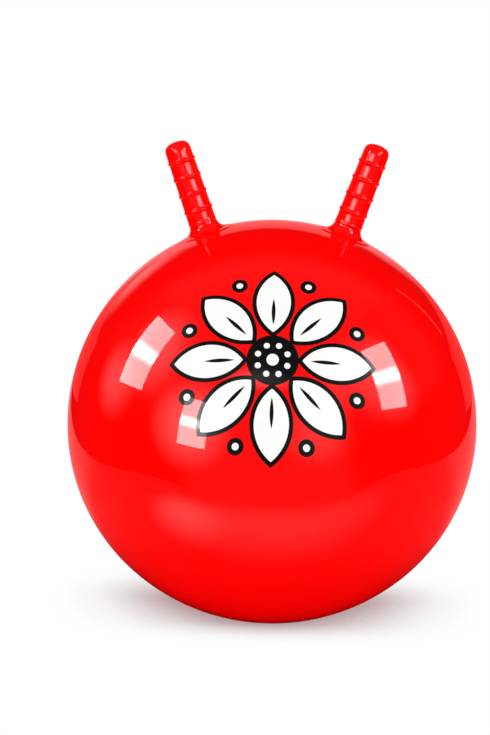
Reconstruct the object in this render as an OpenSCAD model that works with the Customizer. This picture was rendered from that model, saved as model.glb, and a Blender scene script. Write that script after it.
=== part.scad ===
// Hopper ball: a soft inflated ball with two ribbed hollow handles, an air valve with its plug
// and a two-colour print on the front. Lengths are in millimetres.
// The origin is the middle of the flat patch on the floor, +Z is up and the print faces -Y.

/* [Ball] */
// Width of the inflated ball
ball_w = 460; // [360:5:600]
// How much lower than round the bottom half is, before its foot is pressed flat
ball_sag = 7; // [3:0.5:12]
// Thickness of the moulded skin
skin_wall = 1.1; // [0.8:0.1:2]
// Radius of the flat patch that rests on the floor
foot_r = 34; // [24:1:44]

/* [Handles] */
// Lean of each handle away from upright
handle_lean = 19.4; // [15:0.1:26]
// Length of each handle above the ball
handle_len = 103; // [96:1:130]
// Width of the grip at its tip
tip_w = 28; // [25:0.5:29]
// Width of the grip where it meets the ball
root_w = 31; // [29:0.2:33]
// Wall of the hollow handle
handle_wall = 2.2; // [1.8:0.1:3]
// Radius round the edge of the tip
tip_round = 8.3; // [6:0.1:10]
// Radius of the shallow dome on the tip
tip_dome = 28; // [22:1:60]
// Radius of the round pad under each handle
pad_r = 33; // [31:0.5:40]
// Height of the pad above the skin
pad_h = 0.9; // [0.8:0.1:2]
// Radius of the fillet between the pad and the handle
fillet_r = 11.5; // [9:0.5:13]

/* [Grip rings] */
// Number of raised rings on each grip
ring_count = 4; // [2:1:6]
// From the tip down to the first ring
ring_first = 21.3; // [16:0.1:28]
// From the edge of the bend up to the lowest ring
ring_lift = 3.8; // [2.5:0.1:8]
// Width of a ring along the handle
ring_w = 2.8; // [2.4:0.1:3.4]
// How far a ring stands out
ring_h = 1.2; // [0.8:0.1:1.4]
// From the top of the fillet up to the low bead
bead_lift = 1.5; // [1:0.1:3]
// Width of the bead along the handle
bead_w = 2.4; // [2:0.1:3]
// How far the bead stands out
bead_h = 0.6; // [0.4:0.1:1]

/* [Bend of the handles] */
// Height above the ball at which a handle bends
bend_at = 12; // [10:0.5:13]
// How much larger than the neck the round face of the bend is, in radius
bend_over = 3.1; // [2.6:0.1:4]
// Gap between the root and the grip
bend_gap = 0.3; // [0.2:0.05:0.5]

/* [Valve] */
// Lean of the valve behind upright
valve_lean = 28; // [22:1:60]
// Radius of the valve's two flanges
flange_r = 17; // [15:0.5:22]
// Thickness of a flange
flange_t = 1.3; // [1:0.1:2]
// Radius of the collar that passes through the skin
collar_r = 12; // [11.5:0.1:13]
// Radius of the recess that holds the plug's head
recess_r = 9.6; // [9:0.1:10.4]
// Depth of the recess
recess_d = 2.6; // [2:0.1:3.2]
// Radius of the tube below the flanges
tube_r = 7; // [6:0.1:8.5]
// Length of the tube, from the inner flange
tube_len = 13; // [10:0.5:20]
// Radius of the air bore
bore_r = 4; // [3:0.1:5]

/* [Valve plug] */
// Running gap between the plug's shank and the bore
shank_gap = 0.05; // [0.02:0.01:0.1]
// Gap between the plug's head and the recess
head_gap = 0.35; // [0.3:0.05:0.6]
// Thickness of the plug's head
head_t = 2.2; // [1.6:0.1:3]
// Length of the straight shank
shank_len = 10; // [8:0.5:14]
// Length of the tapered nose
nose_len = 4; // [3:0.5:6]
// Radius of the end of the nose
nose_r = 2.2; // [1.5:0.1:2.8]
// Radius of the thumb hollow in the head
thumb_r = 12; // [9:0.5:20]
// Depth of the thumb hollow
thumb_d = 0.9; // [0.5:0.1:1.2]

/* [Print] */
// Height of the middle of the print, as an angle above level
print_lat = 31; // [15:1:40]
// Number of petals
petal_count = 8; // [6:1:9]
// From the middle to the near end of a petal
petal_near = 29; // [27:0.5:33]
// Length of a petal
petal_len = 68; // [50:1:72]
// Width of a petal
petal_w = 34; // [24:0.5:35]
// Width of the black line round a petal
line_w = 4.2; // [2.5:0.1:5]
// Length of the stroke inside a petal
stroke_len = 30; // [15:1:34]
// Width of the stroke
stroke_w = 3.8; // [2:0.1:5]
// From the near end of a petal to the stroke
stroke_in = 8; // [6:0.5:12]
// Radius of the black middle
middle_r = 25.5; // [24:0.5:26.5]
// Radius of the circle that the seed dots stand on
seed_ring_r = 15.5; // [13:0.5:18]
// Radius of a seed dot
seed_r = 3; // [1.5:0.1:3.6]
// Radius of the dot in the very middle
heart_r = 6; // [3:0.1:7]
// Radius of the circle that the outer dots stand on
outer_ring_r = 90; // [84:1:98]
// Radius of an outer dot
outer_r = 8; // [5:0.5:9]
// Radius of the white spot in an outer dot
spot_r = 3.4; // [1.5:0.1:4]
// Thickness of the ink
ink_t = 0.2; // [0.1:0.05:0.4]

/* [Hidden] */
$fn = 180;

// Pieces that lie against the skin stay this far off it
seat_gap = 0.05;
// Cuts run past what they cut by this much
overrun = 2;
full_turn = 360;
right_angle = 90;
// The angle below level at which the side arc of the ball's outline meets the bottom arc
join_lat = 45;

skin_red = [0.93, 0.03, 0.02];
root_red = [0.86, 0.03, 0.02];
plug_white = [0.95, 0.95, 0.93];
ink_black = [0.03, 0.03, 0.03];
ink_white = [0.97, 0.97, 0.96];

// The upper half of the ball is round, and the lower half is flatter, with one arc round its side
// and a larger one across its bottom
ball_r = ball_w / 2;
arc_shift = ball_sag / (sin(join_lat) + cos(join_lat) - 1);
side_out = arc_shift * cos(join_lat);
bottom_up = arc_shift * sin(join_lat);
side_arc_r = ball_r - side_out;
bottom_arc_r = side_arc_r + arc_shift;
// Height of the middle of the round half, which the handles and the valve point away from
ball_z = sqrt(pow(bottom_arc_r, 2) - pow(foot_r, 2)) - bottom_up;

// The grip's taper, along the handle's own axis from the skin to the tip
function grip_r(h) = root_w / 2 + (tip_w - root_w) / 2 * h / handle_len;
// The round of the tip and its dome touch, and the dome's top is the end of the handle
corner_x = tip_w / 2 - tip_round;
dome_reach = sqrt(pow(tip_dome - tip_round, 2) - pow(corner_x, 2));
corner_h = handle_len - tip_dome + dome_reach;
// Radius of the circle whose cap is as wide and as high as a ring or a bead
function cap_r(w, h) = (pow(w / 2, 2) + pow(h, 2)) / (2 * h);
// The fillet touches the top of the pad and the side of the neck
fillet_x = grip_r(fillet_r) + fillet_r;
fillet_reach = ball_r + pad_h + fillet_r;
fillet_h = sqrt(pow(fillet_reach, 2) - pow(fillet_x, 2)) - ball_r;
fillet_foot_share = (ball_r + pad_h) / fillet_reach;
// The hollow of the neck, where it opens into the ball
neck_hole_r = grip_r(0) - handle_wall;
// The round face of the bend, and its height at the side of the grip
bend_r = root_w / 2 + bend_over;
bend_edge = bend_at + sqrt(pow(bend_r, 2) - pow(grip_r(bend_at), 2));
// The rings are spread evenly between the first one and the lowest one
ring_low = bend_edge + ring_lift;
ring_pitch = (handle_len - ring_first - ring_low) / (ring_count - 1);

// Heights along the valve's axis, from the skin
inner_face = -skin_wall - flange_t;
shank_r = bore_r - shank_gap;
head_r = recess_r - head_gap;
head_low = flange_t - recess_d + head_gap;

// Half outline of the round upper half about the ball's middle, grown outwards by g
module upper_half(g) {
    intersection() {
        circle(r = ball_r + g);
        square([ball_w, ball_w]);
    }
}

// Half outline of the flatter lower half about the ball's middle, grown outwards by g
module lower_half(g) {
    join_x = side_out + (side_arc_r + g) * cos(join_lat);
    intersection() {
        translate([0, bottom_up]) circle(r = bottom_arc_r + g);
        translate([0, -ball_w]) square([join_x, ball_w]);
    }
    intersection() {
        translate([side_out, 0]) circle(r = side_arc_r + g);
        translate([join_x, -ball_w]) square([ball_w, ball_w]);
    }
}

// Solid ball, grown outwards by g and cut flat at the given height
module whole_ball(g, floor_z) {
    rotate_extrude(angle = full_turn) intersection() {
        translate([0, ball_z]) {
            upper_half(g);
            lower_half(g);
        }
        translate([0, floor_z]) square([ball_w, 2 * ball_w]);
    }
}

// Turns a piece from the Z axis onto a handle's axis, side -1 on the left and 1 on the right
module on_handle(side) {
    translate([0, 0, ball_z]) rotate([0, side * handle_lean, 0]) translate([0, 0, ball_r]) children();
}

// Turns a piece from the Z axis onto the valve's axis
module on_valve() {
    translate([0, 0, ball_z]) rotate([-valve_lean, 0, 0]) translate([0, 0, ball_r]) children();
}

// Turns a piece from the Z axis onto the middle of the print
module on_print() {
    translate([0, 0, ball_z]) rotate([right_angle - print_lat, 0, 0]) children();
}

// Half disc of the ball beside a handle or the valve, grown outwards by g
module near_ball(g) {
    translate([0, -ball_r]) circle(r = ball_r + g);
}

// Ball skin: a thin closed wall with a hole under each handle and one for the valve
module ball_skin() {
    color(skin_red) difference() {
        whole_ball(0, 0);
        whole_ball(-skin_wall, skin_wall);
        for (side = [-1, 1])
            on_handle(side) translate([0, 0, -pad_r]) cylinder(r = neck_hole_r, h = pad_r + overrun);
        on_valve() translate([0, 0, -flange_r]) cylinder(r = collar_r, h = flange_r + overrun);
    }
}

// Half outline of the whole handle without its foot, drawn in by the given wall
module handle_half(wall) {
    low = bend_at - bend_r;
    polygon([
        [0, low],
        [grip_r(low) - wall, low],
        [tip_w / 2 - wall, corner_h],
        [0, corner_h]
    ]);
    intersection() {
        union() {
            translate([corner_x, corner_h]) circle(r = tip_round - wall);
            translate([0, corner_h - tip_round]) square([corner_x, 2 * tip_round]);
        }
        translate([0, handle_len - tip_dome]) circle(r = tip_dome - wall);
        translate([0, corner_h - tip_round]) square([tip_w, 2 * tip_round]);
    }
}

// Half outline of one raised ring at a height on the handle
module ring_half(at, w, h) {
    translate([grip_r(at) + h - cap_r(w, h), at]) circle(r = cap_r(w, h));
}

// Grip: the ribbed part of the handle that bends in the hand
module grip(side) {
    color(skin_red) on_handle(side) rotate_extrude(angle = full_turn) difference() {
        union() {
            handle_half(0);
            for (i = [0 : ring_count - 1])
                ring_half(handle_len - ring_first - i * ring_pitch, ring_w, ring_h);
        }
        handle_half(handle_wall);
        translate([0, bend_at]) circle(r = bend_r);
        translate([0, bend_at - bend_r]) square([root_w, bend_r]);
    }
}

// Handle root: the round pad on the skin, the fillet and the neck up to where the handle bends
module handle_root(side) {
    color(root_red) on_handle(side) rotate_extrude(angle = full_turn) difference() {
        union() {
            intersection() {
                near_ball(pad_h);
                translate([0, -pad_r]) square([pad_r, 2 * pad_r]);
            }
            difference() {
                polygon([
                    [0, -pad_r],
                    [fillet_foot_share * fillet_x, (fillet_h + ball_r) * fillet_foot_share - ball_r],
                    [fillet_x, fillet_h],
                    [0, fillet_h]
                ]);
                translate([fillet_x, fillet_h]) circle(r = fillet_r);
            }
            intersection() {
                union() {
                    polygon([
                        [0, 0],
                        [grip_r(0), 0],
                        [grip_r(bend_at + bend_r), bend_at + bend_r],
                        [0, bend_at + bend_r]
                    ]);
                    ring_half(fillet_h + bead_lift, bead_w, bead_h);
                }
                translate([0, bend_at]) circle(r = bend_r - bend_gap);
            }
        }
        near_ball(seat_gap);
        translate([0, -pad_r]) square([neck_hole_r, 2 * pad_r]);
    }
}

module left_handle_root() { handle_root(-1); }

module right_handle_root() { handle_root(1); }

module left_handle() { grip(-1); }

module right_handle() { grip(1); }

// Valve body: a flange on each side of the skin, a collar between them and a tube with the bore
module valve_body() {
    color(root_red) on_valve() rotate_extrude(angle = full_turn) difference() {
        union() {
            intersection() {
                difference() {
                    near_ball(flange_t);
                    near_ball(seat_gap);
                }
                translate([0, -flange_r]) square([flange_r, 2 * flange_r]);
            }
            intersection() {
                difference() {
                    near_ball(-skin_wall - seat_gap);
                    near_ball(inner_face);
                }
                translate([0, -flange_r]) square([flange_r, 2 * flange_r]);
            }
            intersection() {
                difference() {
                    near_ball(flange_t);
                    near_ball(inner_face);
                }
                translate([0, -flange_r]) square([collar_r - seat_gap, 2 * flange_r]);
            }
            translate([0, inner_face - tube_len]) square([tube_r, tube_len + flange_t]);
        }
        translate([0, flange_t - recess_d]) square([recess_r, recess_d + overrun]);
        translate([0, inner_face - tube_len - overrun])
            square([bore_r, tube_len + skin_wall + 2 * flange_t + 2 * overrun]);
    }
}

// Valve plug: a flat head with a thumb hollow, a straight shank and a tapered nose
module valve_plug() {
    color(plug_white) on_valve() rotate_extrude(angle = full_turn) difference() {
        union() {
            translate([0, head_low]) square([head_r, head_t]);
            translate([0, head_low - shank_len]) square([shank_r, shank_len + head_t]);
            polygon([
                [0, head_low - shank_len - nose_len],
                [nose_r, head_low - shank_len - nose_len],
                [shank_r, head_low - shank_len],
                [0, head_low - shank_len]
            ]);
        }
        translate([0, head_low + head_t + thumb_r - thumb_d]) circle(r = thumb_r);
    }
}

// Outline of a lens with its ends on the X axis, from the near end outwards, grown by g all round
module lens(near, len, w, g) {
    r = cap_r(len, w / 2);
    translate([near + len / 2, 0]) intersection() {
        translate([0, r - w / 2]) circle(r = r + g);
        translate([0, w / 2 - r]) circle(r = r + g);
    }
}

// Places a copy on each of the petals' directions, turned by a share of their spacing
module round_the_flower(turn_share) {
    for (i = [0 : petal_count - 1])
        rotate((i + turn_share) * full_turn / petal_count + right_angle) children();
}

// Outline of everything white in the print
module white_outline() {
    difference() {
        round_the_flower(0) lens(petal_near, petal_len, petal_w, 0);
        round_the_flower(0) lens(petal_near + stroke_in, stroke_len, stroke_w, 0);
        circle(r = middle_r);
    }
    round_the_flower(1 / 2) translate([seed_ring_r, 0]) circle(r = seed_r);
    round_the_flower(1 / 2) translate([outer_ring_r, 0]) circle(r = spot_r);
    circle(r = heart_r);
}

// Outline of the whole print, black and white together
module whole_outline() {
    round_the_flower(0) lens(petal_near, petal_len, petal_w, line_w);
    round_the_flower(1 / 2) translate([outer_ring_r, 0]) circle(r = outer_r);
    circle(r = middle_r);
}

// Thin layer of ink on the skin, in the outline of its child
module ink() {
    intersection() {
        difference() {
            whole_ball(seat_gap + ink_t, 0);
            whole_ball(seat_gap, -overrun);
        }
        on_print() linear_extrude(height = ball_w) children();
    }
}

module print_black() {
    color(ink_black) ink() difference() {
        whole_outline();
        white_outline();
    }
}

module print_white() {
    color(ink_white) ink() white_outline();
}

ball_skin();
left_handle_root();
right_handle_root();
left_handle();
right_handle();
valve_body();
valve_plug();
print_black();
print_white();
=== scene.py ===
"""Looks of a hopper ball, dressed around its packed construction. Lengths are in metres."""

import logging
from dataclasses import dataclass
from enum import Enum
from math import acos, asin, atan2, cos, hypot, pi, radians, sin, sqrt

import bpy
from bpy.types import Material, Node, NodeSocket, NodeTree, Object
from mathutils import Matrix, Vector


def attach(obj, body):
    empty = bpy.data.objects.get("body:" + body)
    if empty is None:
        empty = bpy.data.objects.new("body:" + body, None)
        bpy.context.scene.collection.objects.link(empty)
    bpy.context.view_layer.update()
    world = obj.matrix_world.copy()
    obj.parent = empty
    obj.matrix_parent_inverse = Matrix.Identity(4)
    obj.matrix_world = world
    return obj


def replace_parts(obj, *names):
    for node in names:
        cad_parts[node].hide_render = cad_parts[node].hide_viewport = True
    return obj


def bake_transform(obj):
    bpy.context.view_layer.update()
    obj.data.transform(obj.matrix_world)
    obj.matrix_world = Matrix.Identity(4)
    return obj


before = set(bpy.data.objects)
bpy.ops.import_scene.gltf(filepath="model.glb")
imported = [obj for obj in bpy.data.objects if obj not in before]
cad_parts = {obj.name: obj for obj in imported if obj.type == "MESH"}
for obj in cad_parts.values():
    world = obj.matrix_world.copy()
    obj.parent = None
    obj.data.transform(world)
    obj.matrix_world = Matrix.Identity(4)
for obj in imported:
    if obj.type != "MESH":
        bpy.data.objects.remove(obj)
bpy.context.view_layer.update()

log = logging.getLogger("hopper_ball")

FULL_TURN = 2 * pi
QUARTER_TURN = pi / 2
WELD_GAP = 1e-6
SEED_SIZE = 0.001
SHARP_EDGE = radians(40)
DROP_STEPS = 6

DRIFT_EDGES = (0.32, 0.68)
DRIFT_DETAIL = 3
GRAIN_DETAIL = 4
RIPPLE_DETAIL = 1
THIN_EDGES = (0.5, 0.78)
PATCH_DETAIL = 4
MESH_ROUGHNESS = 0.08

Outline = list[tuple[float, float]]
Colour = tuple[float, float, float]


class Body(Enum):
    """The bodies that whole pieces ride on."""

    BALL = "ball"
    PLUG = "valve_plug"


class Slot(Enum):
    """The record's material slots."""

    RED_VINYL = "red_vinyl"
    VALVE_VINYL = "valve_vinyl"
    WHITE_PLASTIC = "white_plastic"
    BLACK_INK = "black_ink"
    WHITE_INK = "white_ink"


class Side(Enum):
    """Which side of the middle plane a handle stands on."""

    LEFT = -1
    RIGHT = 1


class Reach(Enum):
    """Which pieces a light shows in: all of them, all but the handles, or the handles alone."""

    ALL = "ALL"
    NOT_HANDLES = "EXCLUDE"
    HANDLES = "INCLUDE"


class Cut(Enum):
    """What a second shape does to the first one."""

    TAKE_AWAY = "DIFFERENCE"
    KEEP_INSIDE = "INTERSECT"
    ADD = "UNION"


def clear_selection() -> None:
    """Leaves edit mode and deselects every object."""
    if bpy.context.object is not None and bpy.context.object.mode != "OBJECT":
        bpy.ops.object.mode_set(mode="OBJECT")
    bpy.ops.object.select_all(action="DESELECT")


def pick(piece: Object) -> None:
    """Makes one piece the only selected and the active object.

    Args:
        piece: The object that the next operators act on.
    """
    clear_selection()
    piece.select_set(True)
    bpy.context.view_layer.objects.active = piece


def settle(piece: Object) -> None:
    """Puts a piece's place into its mesh, so that its object sits at the origin."""
    pick(piece)
    bpy.ops.object.transform_apply(location=True, rotation=True, scale=True)


def open_mesh() -> None:
    """Opens the active piece's mesh for editing, with all of it selected."""
    bpy.ops.object.mode_set(mode="EDIT")
    bpy.ops.mesh.select_all(action="SELECT")


def close_mesh() -> None:
    """Turns every face of the open mesh outwards and leaves edit mode."""
    bpy.ops.mesh.select_all(action="SELECT")
    bpy.ops.mesh.normals_make_consistent(inside=False)
    bpy.ops.object.mode_set(mode="OBJECT")


def thicken(low: float, high: float) -> None:
    """Makes the active piece, flat at height 0, into a solid.

    Args:
        low: Height of its underside.
        high: Height of its top.
    """
    open_mesh()
    bpy.ops.mesh.extrude_region_move(TRANSFORM_OT_translate={"value": (0, 0, high - low)})
    bpy.ops.mesh.select_all(action="SELECT")
    bpy.ops.transform.translate(value=(0, 0, low))
    close_mesh()


def spin_outline(name: str, outline: Outline, steps: int) -> Object:
    """Turns a half outline once round the Z axis.

    Args:
        name: Name of the new piece.
        outline: Points as (distance from the axis, height), from one end to the other.
        steps: Number of faces round the axis.

    Returns:
        The new piece, welded, with its faces pointing outwards.
    """
    clear_selection()
    bpy.ops.mesh.primitive_plane_add(size=SEED_SIZE, location=(outline[0][0], 0, outline[0][1]))
    piece = bpy.context.object
    piece.name = name
    piece.data.name = name
    open_mesh()
    bpy.ops.mesh.merge(type="CENTER")
    for here, there in zip(outline, outline[1:]):
        step = (there[0] - here[0], 0, there[1] - here[1])
        bpy.ops.mesh.extrude_region_move(TRANSFORM_OT_translate={"value": step})
    bpy.ops.mesh.select_all(action="SELECT")
    bpy.ops.mesh.spin(steps=steps, angle=FULL_TURN, center=(0, 0, 0), axis=(0, 0, 1))
    bpy.ops.mesh.select_all(action="SELECT")
    bpy.ops.mesh.remove_doubles(threshold=WELD_GAP)
    close_mesh()
    settle(piece)
    bpy.ops.object.shade_smooth()
    return piece


def combine(piece: Object, tool: Object, cut: Cut) -> None:
    """Cuts or joins a piece with a second shape, which is then removed.

    Args:
        piece: The piece that is changed.
        tool: The shape that it is cut or joined with.
        cut: What the second shape does.
    """
    pick(piece)
    change = piece.modifiers.new("combine", "BOOLEAN")
    change.operation = cut.value
    change.solver = "EXACT"
    change.object = tool
    bpy.ops.object.modifier_apply(modifier=change.name)
    bpy.data.objects.remove(tool)


def spread(start: float, end: float, count: int) -> list[float]:
    """Evenly spaced values from start to end, both included, with a count of steps between them."""
    return [start + (end - start) * i / count for i in range(count + 1)]


def arc(middle: tuple[float, float], radius: float, start: float, end: float, count: int) -> Outline:
    """Points along an arc round a middle, between two angles in radians, both included."""
    return [(middle[0] + radius * cos(angle), middle[1] + radius * sin(angle))
            for angle in spread(start, end, count)]


def smooth_step(share: float) -> float:
    """A soft step: 0 at a share of 0 and 1 at a share of 1, level at both ends."""
    return share ** 2 * (3 - 2 * share)


def rgba(colour: Colour) -> tuple[float, float, float, float]:
    """A colour with full opacity."""
    return (*colour, 1)


class NodeSheet:
    """Lays out and joins the nodes of one node tree."""

    def __init__(self, tree: NodeTree) -> None:
        """Keeps the tree that nodes are added to."""
        self.tree = tree

    def add(self, kind: str, inputs: dict | None = None, **settings: object) -> Node:
        """Adds a node.

        Args:
            kind: Blender's name of the node type.
            inputs: Socket names or numbers with their values, or the sockets that feed them.
            settings: Properties of the node itself.

        Returns:
            The new node.
        """
        node = self.tree.nodes.new(kind)
        for key, value in settings.items():
            setattr(node, key, value)
        for key, value in (inputs or {}).items():
            if isinstance(value, NodeSocket):
                self.tree.links.new(value, node.inputs[key])
            else:
                node.inputs[key].default_value = value
        return node

    def sum(self, kind: str, first: object, second: object = 0) -> NodeSocket:
        """Works out one sum, such as MULTIPLY, and returns the result's socket."""
        return self.add("ShaderNodeMath", {0: first, 1: second}, operation=kind).outputs[0]

    def ramp(self, value: object, low: float, high: float, start: float = 0,
             end: float = 1) -> NodeSocket:
        """Maps a value smoothly from low..high onto start..end and returns the result's socket."""
        limits = {"Value": value, 1: low, 2: high, 3: start, 4: end}
        return self.add("ShaderNodeMapRange", limits, interpolation_type="SMOOTHSTEP").outputs[0]

    def mix(self, share: object, first: object, second: object) -> NodeSocket:
        """Mixes two colours, the second by its share, and returns the result's socket."""
        colours = {"Factor": share, 6: first, 7: second}
        return self.add("ShaderNodeMix", colours, data_type="RGBA").outputs[2]

    def blend(self, share: object, first: Node, second: Node) -> Node:
        """Mixes two shaders, the second by its share, and returns the new shader."""
        return self.add("ShaderNodeMixShader", {0: share, 1: first.outputs[0], 2: second.outputs[0]})

    def place(self) -> NodeSocket:
        """The socket of each point's place in its object."""
        return self.add("ShaderNodeTexCoord").outputs["Object"]

    def part(self, vector: NodeSocket, name: str) -> NodeSocket:
        """The socket of a vector's X, Y or Z."""
        return self.add("ShaderNodeSeparateXYZ", {0: vector}).outputs[name]

    def show(self, shader: Node) -> None:
        """Puts a shader on the material's surface."""
        self.add("ShaderNodeOutputMaterial", {"Surface": shader.outputs[0]})

    def cover(self, base: Node, gloss: dict[str, object]) -> None:
        """Puts a glossy shader on the surface, over what a node group gives.

        Args:
            base: The group's node, with its colour, roughness and normal.
            gloss: Further inputs of the shader, with their values or sockets.
        """
        inputs = {"Base Color": base.outputs["Colour"], "Roughness": base.outputs["Roughness"],
                  "Normal": base.outputs["Normal"], **gloss}
        self.show(self.add("ShaderNodeBsdfPrincipled", inputs))


def new_group(name: str, colours: list[str], numbers: list[str]) -> NodeTree:
    """Makes a shader node group that puts out a colour, a roughness and a normal.

    Args:
        name: Name of the group.
        colours: Names of its inputs that are colours.
        numbers: Names of its inputs that are numbers.

    Returns:
        The group, which has sockets and no nodes.
    """
    group = bpy.data.node_groups.new(name, "ShaderNodeTree")
    for way, kind, names in (("INPUT", "Color", colours), ("INPUT", "Float", numbers),
                             ("OUTPUT", "Color", ["Colour"]), ("OUTPUT", "Float", ["Roughness"]),
                             ("OUTPUT", "Vector", ["Normal"])):
        for key in names:
            group.interface.new_socket(key, in_out=way, socket_type=f"NodeSocket{kind}")
    return group


def moulded_group() -> NodeTree:
    """Makes the group for soft moulded vinyl: slow colour drift, haze and long shallow ripples.

    Returns:
        A group that puts out a colour, a roughness and a normal.
    """
    group = new_group("moulded_vinyl", ["Colour", "Deep Colour"], [
        "Drift Size", "Haze", "Haze Spread", "Ripple Size", "Ripple Height", "Grain Size", "Grain Height"])
    sheet = NodeSheet(group)
    given = sheet.add("NodeGroupInput").outputs
    place = sheet.place()

    def cloud(size: str, detail: float) -> NodeSocket:
        """Makes noise.

        Args:
            size: Name of the input that holds the size of its patches.
            detail: How much fine noise it has.

        Returns:
            The socket of its value.
        """
        scale = sheet.sum("DIVIDE", 1.0, given[size])
        noise = sheet.add("ShaderNodeTexNoise", {"Vector": place, "Scale": scale, "Detail": detail})
        return noise.outputs["Fac"]

    drift = sheet.ramp(cloud("Drift Size", DRIFT_DETAIL), *DRIFT_EDGES)
    colour = sheet.mix(drift, given["Colour"], given["Deep Colour"])
    grain = cloud("Grain Size", GRAIN_DETAIL)
    haze_shift = sheet.sum("MULTIPLY", sheet.sum("SUBTRACT", grain, 0.5), given["Haze Spread"])
    haze = sheet.sum("ADD", given["Haze"], haze_shift)
    ripple = sheet.add("ShaderNodeBump", {"Height": cloud("Ripple Size", RIPPLE_DETAIL),
                                          "Distance": given["Ripple Height"]})
    fine = sheet.add("ShaderNodeBump", {"Height": grain, "Distance": given["Grain Height"],
                                        "Normal": ripple.outputs[0]})
    sheet.add("NodeGroupOutput", {"Colour": colour, "Roughness": haze, "Normal": fine.outputs[0]})
    return group


def printed_group() -> NodeTree:
    """Makes the group for screen-printed ink: uneven cover and a fine mesh mark.

    Returns:
        A group that puts out a colour, a roughness and a normal.
    """
    group = new_group("printed_ink", ["Ink", "Thin Ink"],
                      ["Patch Size", "Mesh Size", "Gloss Loss", "Mesh Height"])
    sheet = NodeSheet(group)
    given = sheet.add("NodeGroupInput").outputs
    place = sheet.place()
    patch = sheet.add("ShaderNodeTexNoise", {
        "Vector": place, "Scale": sheet.sum("DIVIDE", 1.0, given["Patch Size"]), "Detail": PATCH_DETAIL})
    cells = sheet.add("ShaderNodeTexVoronoi", {
        "Vector": place, "Scale": sheet.sum("DIVIDE", 1.0, given["Mesh Size"])}).outputs["Distance"]
    colour = sheet.mix(sheet.ramp(patch.outputs["Fac"], *THIN_EDGES), given["Ink"], given["Thin Ink"])
    rough = sheet.sum("ADD", given["Gloss Loss"], sheet.sum("MULTIPLY", cells, MESH_ROUGHNESS))
    bump = sheet.add("ShaderNodeBump", {"Height": cells, "Distance": given["Mesh Height"]})
    sheet.add("NodeGroupOutput", {"Colour": colour, "Roughness": rough, "Normal": bump.outputs[0]})
    return group


def new_material(name: str) -> tuple[Material, NodeSheet]:
    """Makes an empty material.

    Args:
        name: Name of the material.

    Returns:
        The material and the sheet that its nodes go on.
    """
    material = bpy.data.materials.new(name)
    material.use_nodes = True
    material.node_tree.nodes.clear()
    return material, NodeSheet(material.node_tree)


def paint(piece: Object, material: Material, slot: Slot) -> None:
    """Gives a piece its one material.

    Args:
        piece: The piece.
        material: Its only material.
        slot: The record's slot for it; not used.
    """
    piece.data.materials.clear()
    piece.data.materials.append(material)


@dataclass(frozen=True)
class BallForm:
    """The ball's shape: round above its middle, and flatter below, where it sags on its foot."""

    width: float = 0.460
    sag: float = 0.007
    foot_radius: float = 0.034
    join_angle: float = radians(45)

    @property
    def radius(self) -> float:
        """Radius of the round upper half."""
        return self.width / 2

    @property
    def arc_shift(self) -> float:
        """How far apart the middles of the side arc and of the bottom arc are."""
        return self.sag / (sin(self.join_angle) + cos(self.join_angle) - 1)

    @property
    def side_out(self) -> float:
        """From the axis out to the middle of the side arc."""
        return self.arc_shift * cos(self.join_angle)

    @property
    def bottom_up(self) -> float:
        """From the ball's middle up to the middle of the bottom arc."""
        return self.arc_shift * sin(self.join_angle)

    @property
    def side_radius(self) -> float:
        """Radius of the side arc."""
        return self.radius - self.side_out

    @property
    def bottom_radius(self) -> float:
        """Radius of the bottom arc."""
        return self.side_radius + self.arc_shift

    @property
    def middle(self) -> float:
        """Height of the ball's middle above the floor."""
        return sqrt(self.bottom_radius ** 2 - self.foot_radius ** 2) - self.bottom_up

    def above_skin(self, axis: Vector, height: float) -> Vector:
        """The point at a height above the skin, straight out from the ball's middle."""
        return Vector((0, 0, self.middle)) + axis * (self.radius + height)

    def outline_point(self, angle: float) -> tuple[float, float]:
        """A point of the half outline.

        Args:
            angle: Direction of the surface there, in radians above level.

        Returns:
            Distance from the axis, and height above the floor.
        """
        if angle >= 0:
            return self.radius * cos(angle), self.middle + self.radius * sin(angle)
        if angle >= -self.join_angle:
            return (self.side_out + self.side_radius * cos(angle),
                    self.middle + self.side_radius * sin(angle))
        return (self.bottom_radius * cos(angle),
                self.middle + self.bottom_up + self.bottom_radius * sin(angle))

    def height_over(self, point: Vector) -> tuple[float, Vector]:
        """How far a point lies outside the ball.

        Args:
            point: A point in the part's frame.

        Returns:
            The distance from the surface, less than zero inside, and the outward direction.
        """
        reach = hypot(point.x, point.y)
        rise = point.z - self.middle
        if rise >= 0:
            away = Vector((point.x, point.y, rise))
            return away.length - self.radius, away.normalized()
        if reach - self.side_out <= -rise:
            away = Vector((point.x, point.y, rise - self.bottom_up))
            return away.length - self.bottom_radius, away.normalized()
        share = (reach - self.side_out) / reach
        away = Vector((point.x * share, point.y * share, rise))
        return away.length - self.side_radius, away.normalized()

    def drop_onto(self, point: Vector, line: Vector) -> tuple[Vector, Vector]:
        """Moves a point along a line until it lies on the ball.

        Args:
            point: A point near the surface.
            line: Unit direction of the line.

        Returns:
            The point on the surface, and the outward direction there.
        """
        spot = point.copy()
        for _ in range(DROP_STEPS):
            gap, away = self.height_over(spot)
            spot -= line * (gap / line.dot(away))
        return spot, away


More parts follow.
